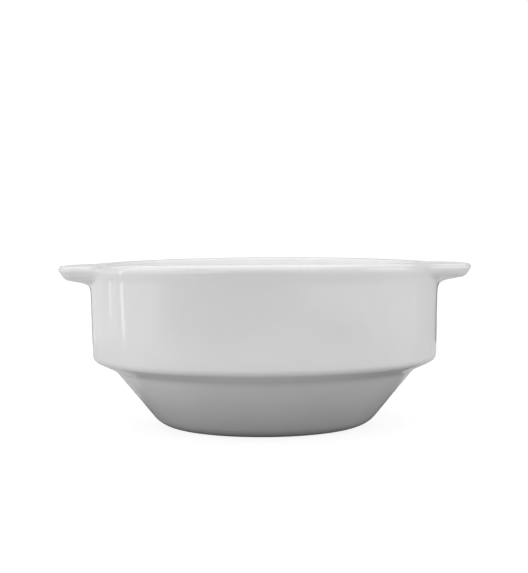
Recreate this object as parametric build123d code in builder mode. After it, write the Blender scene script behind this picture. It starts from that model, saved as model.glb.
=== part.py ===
from build123d import *
import os
from math import cos, radians, sin, tan

# Lug soup bowl in white porcelain, all sizes in millimetres and degrees.
# The bowl stands on z = 0 with its axis on Z, and its two lugs point along -X and +X.

# Wall, lip and overall height
rim_height = 54.4           # from the table to the crest of the lip
wall_radius = 57.5          # outside of the upright wall, just under the lip
wall_draft = 1.35           # the wall leans in towards the shoulder
wall_thickness = 4.6
lip_overhang = 0.35         # how far the rolled lip stands out from the wall
lip_roll = 2.4              # radius over the outside of the lip
lip_land = 0.4              # short upright stretch under that roll
lip_inner_roll = 1.6        # radius over the inside of the lip
neck_rise = 2.0             # height over which the wall flares out to the lip
neck_hollow = 12.0          # radius of that flare

# Stacking shoulder, cone and foot
shoulder_height = 18.9      # where the cone meets the underside of the shoulder
shoulder_ledge = 7.1        # how far the shoulder stands out from the cone
shoulder_slope = 25.0       # the ledge rises outwards at this angle
shoulder_corner = 2.9       # radius of the shoulder's outer corner
shoulder_hollow = 7.0       # radius where the ledge meets the cone
cone_lean = 39.3            # lean of the cone from upright
cone_thickness = 4.8
heel_radius = 9.0           # roundness between the cone and the foot
foot_width = 3.2            # the ring that touches the table
foot_recess = 1.6           # how far the underside is raised inside the ring
recess_slope = 35.0         # lean of the ring's inner side
recess_radius = 2.0
floor_thickness = 4.6
well_radius = 14.0          # roundness of the inside where the floor meets the cone
inner_step = 7.0            # roundness of the soft step inside the shoulder
inner_corner = 4.5

# Lugs
lug_reach = 10.6            # from the wall to the tip
lug_half_width = 17.5       # half the width of a lug where it leaves the bowl
lug_squareness = 4.0        # 2 would make the lug an ellipse from above, more makes it squarer
lug_flare = 6.0             # how far the sides spread inside the wall, so that they run into the lip
lug_flare_start = 50.0      # angle at the lug's heart where that spread starts
lug_drop = 0.45             # the top lies this far under the crest of the lip
lug_thickness = 4.6         # at the foot of the undercut edge
lug_undercut = 30.0         # lean of the edge under the rolled top
lug_edge_roll = 1.3
lug_belly = 3.2             # roundness between the undercut and the underside
lug_fall = 11.0             # the underside drops towards the wall at this angle
lug_root = 3.0              # radius where the underside meets the wall
lug_root_run = 4.4          # shortest stretch of underside, where the sides pass into the wall
lug_root_bite = 0.13        # the root's curve is cut off this far before it runs out on the wall
lug_inset = 9.5             # the lug's heart lies this far inside the wall
lug_core = 6.0              # the clay starts this far from the heart, before it is cut to the bowl
lug_sections = 15


def lean(angle):
    return tan(radians(angle))


# Corner points of the outside, from the foot to the lip
neck_height = rim_height - lip_roll - lip_land - neck_rise
ledge_rise = shoulder_ledge * lean(shoulder_slope)
corner_height = shoulder_height + ledge_rise
corner_radius = wall_radius - (neck_height - corner_height) * lean(wall_draft)
cone_top_radius = corner_radius - shoulder_ledge
base_radius = cone_top_radius - shoulder_height * lean(cone_lean)
lip_radius = wall_radius + lip_overhang
outside = [
    (base_radius, 0),
    (cone_top_radius, shoulder_height),
    (corner_radius, corner_height),
    (wall_radius, neck_height),
    (lip_radius, neck_height + neck_rise),
    (lip_radius, rim_height),
]
outside_rounding = [heel_radius, shoulder_hollow, shoulder_corner, neck_hollow, lip_roll, lip_roll]

# Corner points of the inside, from the lip to the floor: each stretch runs parallel to the outside
half_step = lean((90 - shoulder_slope - cone_lean) / 2)
inner_corner_radius = corner_radius - wall_thickness
inner_corner_height = corner_height + cone_thickness / cos(radians(shoulder_slope))
inner_corner_height -= wall_thickness * lean(shoulder_slope)
inner_step_radius = cone_top_radius - cone_thickness * sin(radians(shoulder_slope))
inner_step_radius -= cone_thickness * half_step * cos(radians(shoulder_slope))
inner_step_height = shoulder_height + cone_thickness * cos(radians(shoulder_slope))
inner_step_height -= cone_thickness * half_step * sin(radians(shoulder_slope))
floor_height = foot_recess + floor_thickness
floor_radius = inner_step_radius - (inner_step_height - floor_height) * lean(cone_lean)
mouth_radius = inner_corner_radius + (rim_height - inner_corner_height) * lean(wall_draft)
inside = [
    (mouth_radius, rim_height),
    (inner_corner_radius, inner_corner_height),
    (inner_step_radius, inner_step_height),
    (floor_radius, floor_height),
]
inside_rounding = [lip_inner_roll, inner_corner, inner_step, well_radius]

# Corner points of the underside, from the middle to the foot ring
foot_radius = base_radius - heel_radius * lean((90 - cone_lean) / 2)
ring_inner_radius = foot_radius - foot_width
recess_edge_radius = ring_inner_radius - foot_recess * lean(recess_slope)
underside = [
    (0, foot_recess),
    (recess_edge_radius, foot_recess),
    (ring_inner_radius, 0),
]
underside_rounding = [recess_radius, 0]

# The bowl's outside as a full form, which the roots of the lugs are cut to
with BuildPart() as outer_form:
    with BuildSketch(Plane.XZ):
        with BuildLine():
            FilletPolyline((0, 0), *outside, (0, rim_height), radius=outside_rounding)
            Line((0, rim_height), (0, 0))
        make_face()
    revolve(axis=Axis.Z)

# Bowl body: one piece of clay, turned between a mould and a profile tool
with BuildPart() as bowl_body:
    with BuildSketch(Plane.XZ):
        with BuildLine():
            FilletPolyline(
                *underside,
                *outside,
                *inside,
                (0, floor_height),
                radius=underside_rounding + outside_rounding + inside_rounding,
            )
            Line((0, floor_height), (0, foot_recess))
        make_face()
    revolve(axis=Axis.Z)


# One upright cut through a lug, from its heart inside the wall, at an angle from the lug's middle line
def lug_outline(angle):
    ahead = cos(radians(angle))
    aside = abs(sin(radians(angle)))
    heart = wall_radius - lug_inset
    bluntness = (abs(ahead) / (lug_inset + lug_reach)) ** lug_squareness
    bluntness += (aside / lug_half_width) ** lug_squareness
    spread = max(0, abs(angle) - lug_flare_start) / (90 - lug_flare_start)
    reach = bluntness ** (-1 / lug_squareness) + lug_flare * spread**2
    nose = reach - lug_edge_roll + lug_edge_roll / lean((90 - lug_undercut) / 2)
    belly = nose - lug_thickness * lean(lug_undercut)
    top = rim_height - lug_drop
    wall_at_root = wall_radius - (neck_height - top + 2 * lug_thickness) * lean(wall_draft)
    wall_here = (wall_at_root**2 - (heart * aside) ** 2) ** 0.5 - heart * ahead
    root = min(wall_here - lug_root_bite, belly - lug_root_run)
    root_height = top - lug_thickness - (belly - root) * lean(lug_fall)
    root_length = 2 * lug_root
    FilletPolyline(
        (lug_core, top),
        (nose, top),
        (belly, top - lug_thickness),
        (root, root_height),
        (root - root_length * lean(wall_draft), root_height - root_length),
        (lug_core, root_height - root_length),
        radius=[0, lug_edge_roll, lug_belly, lug_root, 0, 0],
        close=True,
    )


# Lug: a solid ear, pressed in a mould, then cut at its root to sit on the wall and the lip
def make_lug(label, facing):
    heart = (wall_radius - lug_inset) * Vector(1, 0, 0).rotate(Axis.Z, facing)
    with BuildPart() as lug:
        for step in range(lug_sections):
            angle = 180 * step / (lug_sections - 1) - 90
            outward = Vector(1, 0, 0).rotate(Axis.Z, facing + angle)
            with BuildSketch(Plane(heart, x_dir=outward, z_dir=outward.cross(Vector(0, 0, 1)))):
                with BuildLine():
                    lug_outline(angle)
                make_face()
        loft()
        add(outer_form.part, mode=Mode.SUBTRACT)
    lug.part.label = label
    return lug.part


bowl_body.part.label = "bowl_body"
right_lug = make_lug("right_lug", 0)
left_lug = make_lug("left_lug", 180)

os.makedirs("parts", exist_ok=True)
export_step(bowl_body.part, "parts/bowl_body.step")
export_step(right_lug, "parts/right_lug.step")
export_step(left_lug, "parts/left_lug.step")
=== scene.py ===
from math import pi, radians

import bmesh
import bpy
import numpy as np
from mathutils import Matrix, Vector


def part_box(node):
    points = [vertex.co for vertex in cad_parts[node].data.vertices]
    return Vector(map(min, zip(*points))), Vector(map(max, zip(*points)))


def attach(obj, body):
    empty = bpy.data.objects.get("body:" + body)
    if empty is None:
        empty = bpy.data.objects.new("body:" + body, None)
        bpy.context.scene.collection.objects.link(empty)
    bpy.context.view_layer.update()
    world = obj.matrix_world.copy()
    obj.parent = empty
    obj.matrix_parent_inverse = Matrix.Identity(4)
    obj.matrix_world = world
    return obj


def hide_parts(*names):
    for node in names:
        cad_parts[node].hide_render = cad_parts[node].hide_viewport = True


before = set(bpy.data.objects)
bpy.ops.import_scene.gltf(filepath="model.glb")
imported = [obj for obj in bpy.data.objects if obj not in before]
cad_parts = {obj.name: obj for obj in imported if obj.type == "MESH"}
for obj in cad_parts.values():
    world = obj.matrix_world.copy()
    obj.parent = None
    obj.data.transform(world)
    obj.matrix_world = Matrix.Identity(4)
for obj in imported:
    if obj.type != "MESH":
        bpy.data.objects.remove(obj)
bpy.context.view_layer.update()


# Bowl body
# One piece of hard porcelain, turned between a plaster mould and a profile tool, dried, fired and
# dipped in clear glaze. The foot ring is wiped bare, so that it doesn't stick to the kiln shelf.
# In the glaze firing the heavy lugs pull the rim down a little on their two sides.

rim_height = round(1000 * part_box("bowl_body")[1][2], 2)     # mm, from the table to the crest of the lip
lip_radius = round(1000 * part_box("bowl_body")[1][0], 2)     # mm, outside of the lip

# The profile tool's corners: radius, height and rounding in mm, from the underside to the floor
bowl_corners = [
    (0.3, 1.6, 0.0),                                # middle of the underside, closed by a small face
    (25.71, 1.6, 2.0),                              # edge of the recess
    (26.83, 0.0, 0.4),                              # inner edge of the foot ring
    (34.30, 0.0, 9.0),                              # heel
    (49.77, 18.9, 7.0),                             # under the stacking shoulder
    (56.87, 22.21, 2.5),                            # stacking shoulder
    (lip_radius - 0.35, rim_height - 4.8, 12.0),    # neck
    (lip_radius, rim_height - 2.8, 2.4),            # lip, below the roll
    (lip_radius, rim_height + 0.43, 2.3),           # lip, outside: the roll stays under this corner
    (lip_radius - 4.1, rim_height - 0.3, 0.2),      # lip, inside, where its crest has sloped down a little
    (lip_radius - 5.45, rim_height - 2.9, 4.0),     # foot of the lip's inner slope
    (52.27, 25.36, 4.5),                            # inside of the shoulder
    (46.74, 22.79, 7.0),                            # soft step
    (33.16, 6.2, 14.0),                             # well
    (0.3, 6.2, 0.0),                                # middle of the floor, closed by a small face
]
glaze_softening = 0.3       # mm over which the glaze rounds every change of direction
foot_ring = (27.2, 30.2)    # mm, inner and outer radius of the bare ring
bare_height = 0.3           # mm that the wiped ring reaches up from the table
rim_dip = 0.75              # mm that the crest sinks at the lugs
dip_start = 36.0            # mm, height where that dip starts
dip_rise = 10.0             # mm of height over which it grows to its full depth
wall_wave = 0.03            # mm, how far the turned wall leaves a true circle
wave_start = 4.0            # mm, height where that wave starts
wave_rise = 20.0            # mm of height over which it grows to its full depth
wave_middle = 20.0          # mm, radius inside which it dies out
wave_parts = [              # lobes around, turn in radians for each mm of height, start in radians, share
    (7, 0.09, 1.0, 1.0),
    (11, -0.17, 0.0, 0.7),
    (3, 0.30, 0.0, 0.5),
]
line_spacing = 0.1          # mm between the points of a drawn line
straight_run = 2.4          # mm of straight profile that get as many rows of the mesh as bend_run does
bend_run = 5.0              # degrees that the profile turns in a bend
rows_in_profile = 230
steps_around = 360
even_glaze = 0.5            # glaze_pool on a flat stretch, where 1 is the deepest glaze
bend_glaze = 1.2            # mm, what a hollow of one per mm adds to it and a ridge takes away


def rounded(corners, spacing=line_spacing, arc_points=24):
    """Evenly spaced points in mm along a line through the corners, each rounded by its own radius."""
    points = [np.array(corners[0][:2])]
    for before, corner, after in zip(corners, corners[1:], corners[2:]):
        here = np.array(corner[:2])
        back = np.array(before[:2]) - here
        on = np.array(after[:2]) - here
        back /= np.linalg.norm(back)
        on /= np.linalg.norm(on)
        half = np.arccos(np.clip(back @ on, -1, 1)) / 2
        radius = corner[2]
        middle = here + (back + on) / np.linalg.norm(back + on) * radius / np.sin(half)
        first = here + back * radius / np.tan(half) - middle
        last = here + on * radius / np.tan(half) - middle
        for share in np.linspace(0, 1, arc_points):
            spoke = first * (1 - share) + last * share
            length = np.linalg.norm(spoke)
            points.append(middle + (spoke / length * radius if length else 0))
    points.append(np.array(corners[-1][:2]))
    points = np.array(points)
    along = np.append(0, np.cumsum(np.hypot(*np.diff(points, axis=0).T)))
    even = np.linspace(0, along[-1], int(along[-1] / spacing))
    return np.column_stack([np.interp(even, along, points[:, axis]) for axis in (0, 1)])


def softened(points, width, widths_out=4):
    """The same line as glaze leaves it, with every change of direction spread over that width in mm."""
    reach = int(widths_out * width / line_spacing)
    weights = np.exp(-0.5 * (np.arange(-reach, reach + 1) * line_spacing / width) ** 2)
    weights /= weights.sum()
    start = 2 * points[0] - points[reach:0:-1]
    end = 2 * points[-1] - points[-2:-reach - 2:-1]
    long = np.vstack([start, points, end])
    return np.column_stack([np.convolve(long[:, axis], weights, "valid") for axis in (0, 1)])


def eased(share):
    """A smooth step from 0 to 1."""
    share = np.clip(share, 0, 1)
    return share * share * (3 - 2 * share)


def after_firing(points):
    """Points in mm as the kiln leaves them, in metres: the rim dips at the lugs and the wall waves."""
    x, y, z = np.asarray(points).reshape(-1, 3).T
    around = np.arctan2(y, x)
    upper = eased((z - dip_start) / dip_rise)
    standing = np.clip((z - wave_start) / wave_rise, 0, 1)
    wave = sum(share * np.sin(lobes * around + turn * z + start) for lobes, turn, start, share in wave_parts)
    scale = 1 + wall_wave * standing * wave / np.maximum(np.hypot(x, y), wave_middle)
    return np.column_stack([x * scale, y * scale, z - rim_dip * upper * np.cos(around) ** 2]) * 0.001


def skinned(name, rings, glaze_pool):
    """A closed smooth mesh over a stack of closed rings, with the glaze depth of each point kept on it."""
    count = len(rings[0])
    points = after_firing(np.concatenate(rings))
    faces = []
    for ring in range(len(rings) - 1):
        here = ring * count
        there = here + count
        for step in range(count):
            beside = (step + 1) % count
            faces.append((here + step, here + beside, there + beside, there + step))
    faces.append(tuple(range(count)))
    faces.append(tuple(range((len(rings) - 1) * count, len(rings) * count)))
    mesh = bpy.data.meshes.new(name)
    mesh.from_pydata(points.tolist(), [], faces)
    whole = bmesh.new()
    whole.from_mesh(mesh)
    bmesh.ops.recalc_face_normals(whole, faces=whole.faces)
    whole.to_mesh(mesh)
    whole.free()
    mesh.shade_smooth()
    depths = mesh.attributes.new("glaze_pool", "FLOAT", "POINT")
    depths.data.foreach_set("value", np.asarray(glaze_pool, float).ravel())
    piece = bpy.data.objects.new(name, mesh)
    bpy.context.scene.collection.objects.link(piece)
    return piece


bowl_line = softened(rounded(bowl_corners), glaze_softening)
headings = np.unwrap(np.arctan2(*np.gradient(bowl_line, axis=0).T[::-1]))
turning = np.gradient(headings)
effort = np.cumsum(line_spacing / straight_run + np.abs(turning) / radians(bend_run))
rows = np.interp(np.linspace(effort[0], effort[-1], rows_in_profile), effort, np.arange(len(effort)))
row_radius, row_height, row_bend = (
    np.interp(rows, np.arange(len(effort)), values)
    for values in (bowl_line[:, 0], bowl_line[:, 1], turning / line_spacing)
)
row_pool = np.clip(even_glaze - bend_glaze * row_bend, 0, 1)
turns = np.arange(steps_around) * 2 * pi / steps_around
bowl_rings = [
    np.column_stack([radius * np.cos(turns), radius * np.sin(turns), np.full(steps_around, height)])
    for radius, height in zip(row_radius, row_height)
]
bowl = skinned("bowl_body_porcelain", bowl_rings, np.repeat(row_pool, steps_around))


def linear(hex_colour):
    """An sRGB hex colour as the linear values that the nodes take."""
    shares = [int(hex_colour[first:first + 2], 16) / 255 for first in (1, 3, 5)]
    return [s / 12.92 if s <= 0.04045 else ((s + 0.055) / 1.055) ** 2.4 for s in shares] + [1.0]


def per_metre(millimetres):
    """The texture scale that makes one cell of a pattern that size."""
    return 1000 / millimetres


def empty_material(name):
    """A new material, with no nodes yet."""
    material = bpy.data.materials.new(name)
    material.use_nodes = True
    material.node_tree.nodes.clear()
    return material


def add_node(material, kind, settings=None, links=None):
    """Adds one node, with settings by attribute or input name and links from other nodes' outputs."""
    node = material.node_tree.nodes.new(kind)
    for name, value in (settings or {}).items():
        if name in node.inputs:
            node.inputs[name].default_value = value
        else:
            setattr(node, name, value)
    for name, output in (links or {}).items():
        material.node_tree.links.new(output, node.inputs[name])
    return node


# Glazed hard porcelain: a dense white body under clear glaze. It gives a sharp, faintly rippled reflection
# over a soft white, which turns a trace cooler where the glaze has run together in the hollows.
body_cloud = 25.0           # mm across the faint clouds in the white body
glaze_ripple = 4.0          # mm across the ripples in the glaze
ripple_depth = 0.004        # mm
glaze = empty_material("glazed_hard_porcelain")
place = add_node(glaze, "ShaderNodeTexCoord").outputs["Object"]
cloud = add_node(glaze, "ShaderNodeTexNoise", {
    "Scale": per_metre(body_cloud), "Detail": 3.0,
}, {"Vector": place})
body = add_node(glaze, "ShaderNodeValToRGB", links={"Fac": cloud.outputs["Fac"]})
body.color_ramp.elements[0].position = 0.35
body.color_ramp.elements[0].color = linear("#f2f2f2")
body.color_ramp.elements[1].position = 0.65
body.color_ramp.elements[1].color = linear("#f6f6f6")
pool = add_node(glaze, "ShaderNodeAttribute", {"attribute_name": "glaze_pool"})
depth = add_node(glaze, "ShaderNodeMapRange", {
    "From Min": even_glaze, "From Max": 1.0, "To Min": 0.0, "To Max": 0.5,
}, {"Value": pool.outputs["Fac"]})
colour = add_node(glaze, "ShaderNodeMixRGB", {"Color2": linear("#e7eaea")}, {
    "Fac": depth.outputs["Result"], "Color1": body.outputs["Color"],
})
sheen = add_node(glaze, "ShaderNodeMapRange", {
    "From Min": 0.3, "From Max": 0.7, "To Min": 0.06, "To Max": 0.11,
}, {"Value": cloud.outputs["Fac"]})
ripple = add_node(glaze, "ShaderNodeTexNoise", {
    "Scale": per_metre(glaze_ripple), "Detail": 1.0,
}, {"Vector": place})
skin = add_node(glaze, "ShaderNodeBump", {
    "Strength": 1.0, "Distance": ripple_depth / 1000,
}, {"Height": ripple.outputs["Fac"]})
shader = add_node(glaze, "ShaderNodeBsdfPrincipled", {"IOR": 1.5}, {
    "Base Color": colour.outputs["Color"],
    "Roughness": sheen.outputs["Result"],
    "Normal": skin.outputs["Normal"],
})
add_node(glaze, "ShaderNodeOutputMaterial", links={"Surface": shader.outputs["BSDF"]})
bowl.data.materials.append(glaze)

# Bare bisque porcelain on the wiped foot ring: dry, a little warmer and darker than the glaze. The grain of
# fired clay is finer than this, and is drawn coarser so that it shows.
clay_grain = 0.8            # mm
grain_depth = 0.03          # mm
bisque = empty_material("bare_bisque_porcelain")
bare_place = add_node(bisque, "ShaderNodeTexCoord").outputs["Object"]
grain = add_node(bisque, "ShaderNodeTexNoise", {
    "Scale": per_metre(clay_grain), "Detail": 4.0,
}, {"Vector": bare_place})
clay = add_node(bisque, "ShaderNodeValToRGB", links={"Fac": grain.outputs["Fac"]})
clay.color_ramp.elements[0].color = linear("#d9d4ca")
clay.color_ramp.elements[1].color = linear("#e6e2d9")
grit = add_node(bisque, "ShaderNodeBump", {
    "Strength": 1.0, "Distance": grain_depth / 1000,
}, {"Height": grain.outputs["Fac"]})
bare = add_node(bisque, "ShaderNodeBsdfPrincipled", {"IOR": 1.5, "Roughness": 0.75}, {
    "Base Color": clay.outputs["Color"], "Normal": grit.outputs["Normal"],
})
add_node(bisque, "ShaderNodeOutputMaterial", links={"Surface": bare.outputs["BSDF"]})
bowl.data.materials.append(bisque)
for face in bowl.data.polygons:
    face_radius = np.hypot(face.center.x, face.center.y) * 1000
    if foot_ring[0] < face_radius < foot_ring[1] and face.center.z * 1000 < bare_height:
        face.material_index = 1

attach(bowl, "root")
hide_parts("bowl_body")


# Lugs
# Two solid ears of the same clay, pressed in a mould and stuck on with slip while both are leather hard.
# The potter wipes each join smooth, so that the ear runs into the lip above and into the wall below.

# An ear is drawn as upright cuts that fan out from a line inside the lip, at angles from its middle line
lug_reach = round(1000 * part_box("right_lug")[1][0], 2)    # mm from the axis to a lug's tip, as designed
ear_middle = 48.0           # mm from the bowl's axis to the upright line that the cuts fan out from
ear_cover = 102.0           # degrees to each side that an ear's wiped ends reach to
ear_turn = 1.5              # degrees from one cut to the next
ear_squareness = 4          # 2 would make an ear an ellipse from above, more makes it squarer
ear_step = 0.25             # mm that an ear's top lies under the crest, where it leaves the lip
ear_root = 3.5              # mm that the underside runs on inside the wall
least_underside = 1.0       # mm, the shortest that the underside gets
ear_spacing = 0.05          # mm between the points of a drawn cut
top_run = 8.0               # mm that the line of the top runs on inside the core point
root_run = 9.0              # mm that the line of the underside runs on inside the wall
root_fall = 1.0             # mm that it falls there
crest_radius = 55.0         # mm from the bowl's axis to the crest, where an ear's top starts
core_depth = 2.6            # mm from the lip in to the core point that each cut is measured from
core_height = 52.4          # mm, height of that point
core_share = 0.75           # where an ear's hidden inner skin lies between that point and the wall
ear_sink = 1.5              # mm that the wiped ends of an ear lie inside the lip
sink_angles = (62, 102)     # degrees from the middle line over which they sink in
hollow_angles = (30, 60)    # degrees over which the sides grow hollow
side_angles = (25, 45)      # degrees over which the edge of the tip passes into that of the sides
fade_angles = (60, 90)      # degrees over which the wiping gets narrow
least_wipe = 0.01           # mm, keeps a join that isn't wiped from dividing by zero
crest_wipe = 0.3            # mm over which an ear is wiped into the crest
top_wipe = 0.7              # mm more on the way to its edge
wall_wipe = 3.2             # mm more on its underside and the wall
top_bearings = (80, 50)     # degrees above level at the core point over which top_wipe comes in
wall_bearings = (45, -5)    # degrees over which wall_wipe comes in
wall_below = 34.0           # mm, height on the wall that a join reaches down to
crest_inside = 53.5         # mm, radius on the crest that a join reaches in to
seam_depth = 0.03           # mm that the wiped edge lies under the wall
sharp_angle = 60.0          # degrees, passed only at the hidden rims of an ear's skin
ear_glaze = 0.45            # glaze_pool on an ear
join_glaze = 0.5            # what the hollow of the join below adds to it
bearing_spans = [           # degrees above level at the core point: first, last and how many
    (97, 22, 40),           # over the crest and along the top
    (21, -26, 110),         # round the edge
    (-27, -79, 60),         # along the underside and down the wall
]


def between(value, span):
    """How far a value has come from the first to the last of a span, from 0 to 1."""
    return np.clip((value - span[0]) / (span[1] - span[0]), 0, 1)


def wiped(first, second, width):
    """The larger of two distances, rounded over a width where they are near, and how near from 0 to 1."""
    nearness = np.clip(width - np.abs(first - second), 0, None) / np.maximum(width, least_wipe)
    return np.maximum(first, second) + nearness ** 2 * width / 4, nearness


def ear_cut(angle, core, wall, reach, half_width, hollow, drop, depth, fall, tip_edge, side_edge):
    """Corners in mm of the upright cut through an ear at an angle from its middle line."""
    turned = abs(np.degrees(angle))
    blunt = (np.cos(angle) / (reach - ear_middle)) ** ear_squareness
    blunt += (np.sin(angle) / half_width) ** ear_squareness
    side = blunt ** (-1 / ear_squareness)
    lip_edge = core + core_depth - ear_sink * eased(between(turned, sink_angles))
    spread = hollow * eased(between(turned, hollow_angles))
    tip = wiped(side, lip_edge, spread)[0]
    beside = eased(between(turned, side_angles))
    roll, undercut, belly = (a + (b - a) * beside for a, b in zip(tip_edge, side_edge))
    lean = np.tan(radians(undercut))
    nose = tip - roll + roll * (lean + np.hypot(1, lean))
    foot = nose - depth * lean
    lip_top = rim_height - ear_step
    slope = (drop - ear_step) / (reach - crest_radius)
    nose_radius = np.hypot(ear_middle + nose * np.cos(angle), nose * np.sin(angle))
    top = lip_top - slope * (nose_radius - crest_radius)
    low = top - depth
    inner = min(wall - ear_root, foot - least_underside)
    root = low - (foot - inner) * np.tan(radians(fall))
    return [
        (core - top_run, lip_top, 0.0),
        (nose, top, roll),
        (foot, low, belly),
        (inner, root, 0.0),
        (inner - root_run, root - root_fall, 0.0),
    ]


def reach_from(core, line, bearings):
    """How far a line lies from a cut's core point at each bearing, in mm."""
    away = line - np.array([core, core_height])
    bearing = np.arctan2(away[:, 1], away[:, 0])
    order = np.argsort(bearing)
    return np.interp(bearings, bearing[order], np.hypot(*away.T)[order])


def make_ear(name, facing, **sizes):
    """One ear with its wiped joins, facing an angle about the bowl's axis, from the sizes of its cuts."""
    bearings = np.radians(np.concatenate([np.linspace(*span) for span in bearing_spans]))
    lip = bowl_line[(bowl_line[:, 0] > crest_inside) & (bowl_line[:, 1] > wall_below)]
    wipe = top_wipe * eased(between(bearings, np.radians(top_bearings)))
    wipe += wall_wipe * eased(between(bearings, np.radians(wall_bearings)))
    rings = []
    ear_pool = []
    for turn in np.radians(np.arange(-ear_cover, ear_cover + ear_turn / 2, ear_turn)):
        trace = np.sqrt(lip[:, 0] ** 2 - (ear_middle * np.sin(turn)) ** 2) - ear_middle * np.cos(turn)
        core = trace.max() - core_depth
        wall = reach_from(core, np.column_stack([trace, lip[:, 1]]), bearings)
        cut = rounded(ear_cut(turn, core, trace[0], **sizes), ear_spacing)
        clay_out = reach_from(core, cut, bearings)
        width = crest_wipe + wipe * (1 - between(abs(np.degrees(turn)), fade_angles)) ** 2
        joined, nearness = wiped(clay_out, wall, width)
        outer_skin = joined - seam_depth * np.clip(1 - (joined - wall) / seam_depth, 0, 1)
        path = np.concatenate([outer_skin, core_share * wall[::-1]])
        bearing = np.concatenate([bearings, bearings[::-1]])
        out = core + path * np.cos(bearing)
        height = core_height + path * np.sin(bearing)
        along = ear_middle + out * np.cos(turn)
        aside = out * np.sin(turn)
        x = along * np.cos(facing) - aside * np.sin(facing)
        y = along * np.sin(facing) + aside * np.cos(facing)
        rings.append(np.column_stack([x, y, height]))
        ear_pool.append(ear_glaze + join_glaze * nearness * (bearings < 0))
        ear_pool.append(np.zeros(len(bearings)))
    ear = skinned(name, rings, np.concatenate(ear_pool))
    ear.data.set_sharp_from_angle(angle=radians(sharp_angle))
    ear.data.materials.append(glaze)
    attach(ear, "root")
    return ear


# Sizes of the two ears in mm, with the fall of the underside in degrees. An edge is the roll on top, the lean
# of the undercut below it in degrees, and the roundness of its foot.
right_ear = make_ear(
    "right_lug_porcelain", 0.0, reach=lug_reach - 0.1, half_width=17.5, hollow=14.0, drop=0.4, depth=4.05,
    fall=10.5, tip_edge=(1.0, 37.5, 3.6), side_edge=(1.8, 12, 2.6),
)
left_ear = make_ear(
    "left_lug_porcelain", pi, reach=lug_reach - 0.45, half_width=16.5, hollow=9.0, drop=0.6, depth=4.4,
    fall=10.5, tip_edge=(1.0, 37, 3.6), side_edge=(1.8, 14, 2.4),
)
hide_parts("right_lug")
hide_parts("left_lug")


# Studio
# The bowl stands in a pale round cove, whose floor curves up into its wall. The light comes from soft boxes
# overhead and round the bowl, high and low, and from the table under it, which gives some of it back, less
# near the bowl, where a grey disc of painted shade stands in for the bowl's shadow.

cove_floor = 1.0            # m, radius of the flat floor
cove_bend = 0.5             # m, radius of the curve between the floor and the wall
cove_top = 2.5              # m
cove_bend_points = 16


def spun_stage(name, outline, paint, steps=96):
    """A round piece of the studio, turned from (radius, height) points in metres."""
    shape = bmesh.new()
    points = [shape.verts.new((radius, 0, height)) for radius, height in outline]
    edges = [shape.edges.new(pair) for pair in zip(points, points[1:])]
    bmesh.ops.spin(
        shape, geom=points + edges, cent=(0, 0, 0), axis=(0, 0, 1), angle=2 * pi, steps=steps, use_merge=True,
    )
    bmesh.ops.remove_doubles(shape, verts=shape.verts, dist=1e-6)
    bmesh.ops.recalc_face_normals(shape, faces=shape.faces)
    mesh = bpy.data.meshes.new(name)
    shape.to_mesh(mesh)
    shape.free()
    mesh.shade_smooth()
    mesh.materials.append(paint)
    stage = bpy.data.objects.new(name, mesh)
    bpy.context.scene.collection.objects.link(stage)
    return stage


# Matt paint on the cove: a mid grey with an even glow, which together come out as the flat white of paper.
# It gives the bowl no light and no shade.
cove_paint = empty_material("matt_white_paint")
cove_shader = add_node(cove_paint, "ShaderNodeBsdfPrincipled", {
    "Base Color": linear("#808080"), "Roughness": 0.9, "Specular IOR Level": 0.0,
    "Emission Color": linear("#ffffff"), "Emission Strength": 0.88,
})
add_node(cove_paint, "ShaderNodeOutputMaterial", links={"Surface": cove_shader.outputs["BSDF"]})
cove_outline = [(0.0, 0.0)]
for turn in np.linspace(0, pi / 2, cove_bend_points):
    cove_outline.append((cove_floor + cove_bend * np.sin(turn), cove_bend - cove_bend * np.cos(turn)))
cove_outline.append((cove_floor + cove_bend, cove_top))
cove = spun_stage("pale_cove", cove_outline, cove_paint)
cove.visible_diffuse = cove.visible_glossy = cove.visible_shadow = cove.visible_transmission = False

# Pale cotton cloth on the table, and under the bowl, a little to the front and the right, a grey disc of
# painted shade where the bowl's shadow falls on the table. They give the cone the light and the shade that a
# table does, and the camera sees only the cove. Sizes in m.
for name, cloth_name, spot, radius, grey in (
    ("table_top", "pale_cotton_cloth", (0.0, 0.0, -0.0010), 0.33, "#cdcdcd"),
    # painted shade: a dark grey disc standing in for the bowl's shadow on the table, seen only in the light
    # it gives back
    ("painted_shade_disc", "painted_shade_grey", (0.010, -0.010, -0.0005), 0.065, "#969696"),
):
    cloth = empty_material(cloth_name)
    cloth_shader = add_node(cloth, "ShaderNodeBsdfPrincipled", {
        "Base Color": linear(grey), "Roughness": 1.0, "Specular IOR Level": 0.0,
    })
    add_node(cloth, "ShaderNodeOutputMaterial", links={"Surface": cloth_shader.outputs["BSDF"]})
    sheet = spun_stage(name, [(0.0, 0.0), (radius, 0.0)], cloth)
    sheet.location = spot
    sheet.visible_camera = False

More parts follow.
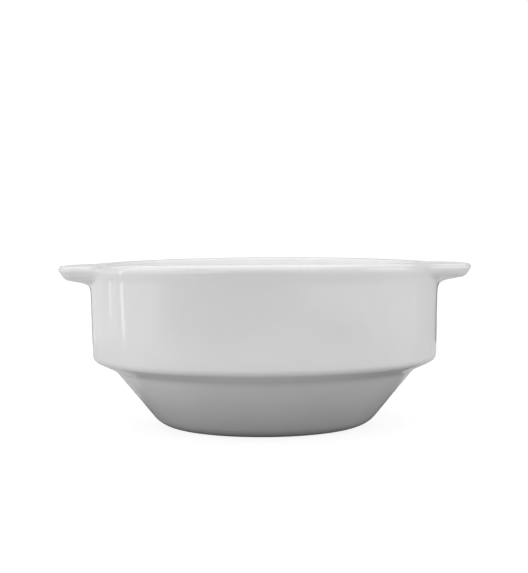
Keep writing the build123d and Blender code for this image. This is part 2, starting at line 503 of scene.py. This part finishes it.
# Soft boxes: place in m, width and height in m, and brightness against white paper
soft_boxes = [
    ("overhead", (0.0, 0.0, 1.5), (1.7, 1.7), 1.55),
    ("behind_high", (0.0, 1.05, 1.1), (2.0, 0.65), 0.87),
    ("front_high", (0.0, -1.05, 1.1), (1.6, 0.65), 1.25),
    ("right_high", (1.0, -0.3, 1.05), (1.3, 0.65), 0.55),
    ("left_high", (-1.05, 0.1, 1.05), (1.1, 0.65), 1.05),
    ("behind_middle", (0.0, 1.36, 0.63), (2.6, 0.53), 0.12),
    ("right_middle", (1.36, 0.0, 0.63), (1.1, 0.53), 1.92),
    ("left_middle", (-1.36, 0.0, 0.63), (1.1, 0.53), 1.19),
    ("behind", (0.0, 1.4, 0.2), (1.17, 0.37), 0.58),
    ("behind_left", (-0.99, 1.0, 0.06), (1.28, 0.66), 0.78),
    ("left", (-1.41, 0.0, 0.06), (1.17, 0.66), 0.74),
    ("front_left", (-1.0, -1.0, 0.38), (1.17, 0.8), 1.25),
    ("front", (0.0, -1.41, 0.45), (1.17, 1.0), 0.1),
    ("front_right", (1.0, -1.0, 0.3), (1.17, 0.86), 0.78),
    ("right", (1.41, 0.0, 0.06), (1.17, 0.66), 0.69),
    ("behind_right", (1.01, 0.98, 0.06), (1.2, 0.66), 0.45),
    ("left_strip", (-1.10, 0.55, 0.11), (0.058, 0.37), 1.3),
    ("left_strip_front", (-1.205, 0.26, 0.115), (0.04, 0.42), 4.0),
]
bowl_middle = Vector((0, 0, 0.03))      # m, where every soft box points
for name, spot, size, brightness in soft_boxes:
    light = bpy.data.lights.new(name, "AREA")
    light.shape = "RECTANGLE"
    light.size, light.size_y = size
    light.energy = brightness * pi * size[0] * size[1]      # white paper gives pi watts a square metre
    box = bpy.data.objects.new(name, light)
    box.location = spot
    box.rotation_mode = "QUATERNION"
    box.rotation_quaternion = (bowl_middle - Vector(spot)).to_track_quat("-Z", "Y")
    box.visible_camera = False
    bpy.context.scene.collection.objects.link(box)

room_glow = 0.05            # brightness of the dim room behind the soft boxes
room = bpy.data.worlds.new("studio_room")
bpy.context.scene.world = room
room.use_nodes = True
room.node_tree.nodes["Background"].inputs["Color"].default_value = linear("#ffffff")
room.node_tree.nodes["Background"].inputs["Strength"].default_value = room_glow
bpy.context.scene.view_settings.view_transform = "Standard"


# Camera
# It stands 0.42 m in front of the bowl and a little above the rim, and looks down by about 2.4 degrees.
# It was held a touch askew, so the bowl leans by less than half a degree in the picture.

picture_height = 573        # pixels
focal_length = 1258         # pixels
sensor_height = 36.0        # mm
camera_place = (0.00008, -0.420, 0.0635)    # m
camera_dip = 2.432          # degrees below level
camera_roll = 0.38          # degrees
lens = bpy.data.cameras.new("photo_camera")
lens.sensor_width = sensor_height           # the picture is taller than wide, so this is its height
lens.lens = focal_length / picture_height * sensor_height
camera = bpy.data.objects.new("photo_camera", lens)
camera.location = camera_place
camera.rotation_euler = (radians(90 - camera_dip), radians(camera_roll), 0)
bpy.context.scene.collection.objects.link(camera)
bpy.context.scene.camera = camera
